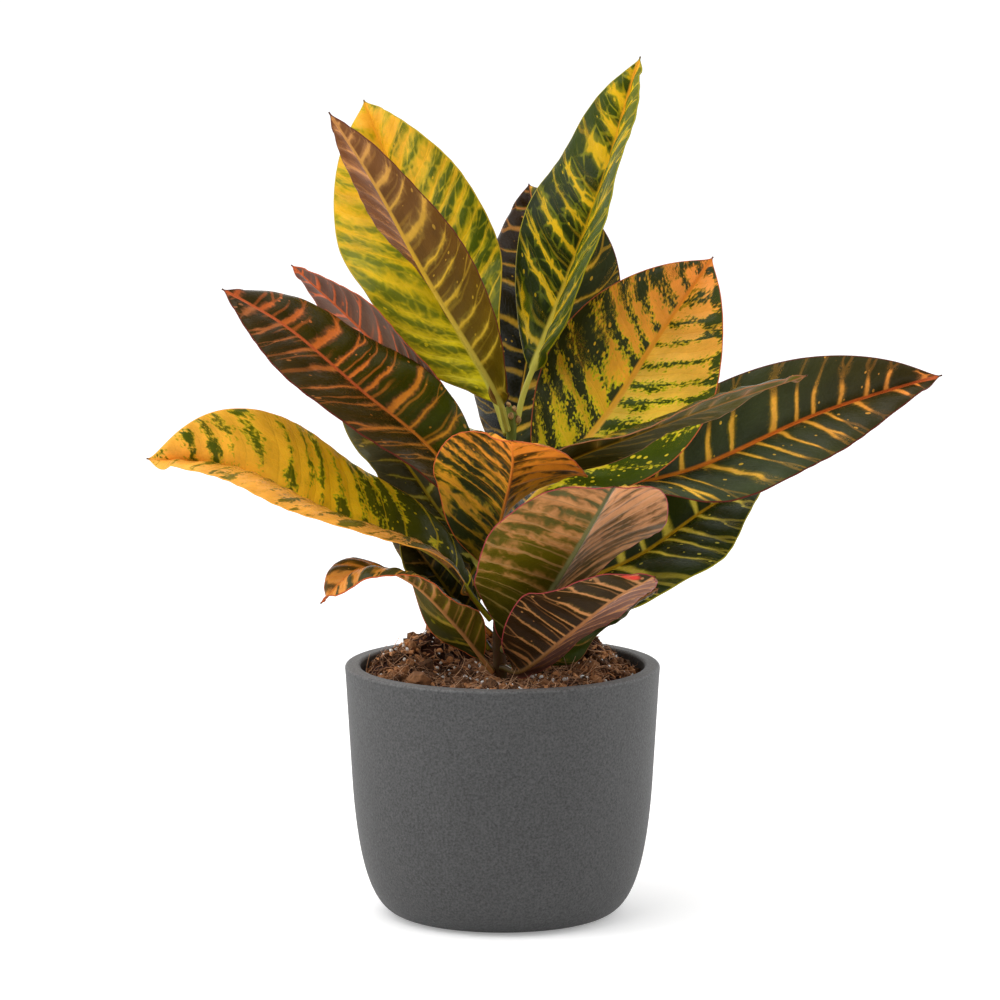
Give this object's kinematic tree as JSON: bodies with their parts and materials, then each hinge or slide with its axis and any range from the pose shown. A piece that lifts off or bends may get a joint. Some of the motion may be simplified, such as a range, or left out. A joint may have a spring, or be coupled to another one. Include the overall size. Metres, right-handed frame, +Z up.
{
  "type": "potted croton",
  "caption": "Croton plant: one woody stem with broad waved, variegated leaves, standing in potting soil in a round fibre-cement pot.",
  "frame": {"origin": "centre of the pot's flat underside", "axes": "+Z up along the pot's axis; -Y towards the side that the picture shows, +X to its right"},
  "size_m": [0.3542, 0.2265, 0.3787],
  "materials": {
    "pot": "matte, finely pitted dark grey fibre cement",
    "soil": "matte, loose coir and bark with white perlite grains",
    "stem": "matte, green above and brown at the foot",
    "leaf_gold": "satin, golden yellow with green patches",
    "leaf_green": "satin, dark green with yellow and orange veins",
    "leaf_orange": "satin, orange with dark green patches",
    "leaf_red": "satin, red-brown with orange veins"
  },
  "bodies": {
    "root": {"pot": "pot", "soil": "soil", "stem": "stem", "leaf_gold_back": "leaf_gold", "leaf_brown_front": "leaf_red", "leaf_tall_green": "leaf_green", "leaf_dark_back": "leaf_green", "leaf_orange_right": "leaf_orange", "leaf_narrow_right": "leaf_red", "leaf_long_right": "leaf_green", "leaf_low_right": "leaf_green", "leaf_front_orange": "leaf_orange", "leaf_front_pink": "leaf_orange", "leaf_front_low": "leaf_red", "leaf_red_left": "leaf_red", "leaf_under_right": "leaf_green", "leaf_purple_left": "leaf_red", "leaf_grey_left": "leaf_green", "leaf_yellow_left": "leaf_gold", "leaf_shade_left": "leaf_green", "leaf_twisted_low": "leaf_orange", "leaf_shade_low": "leaf_green", "leaf_shade_middle": "leaf_green", "leaf_back_left": "leaf_green", "leaf_back_right": "leaf_gold", "leaf_back_middle": "leaf_green", "leaf_back_low": "leaf_red"}
  },
  "joints": []
}
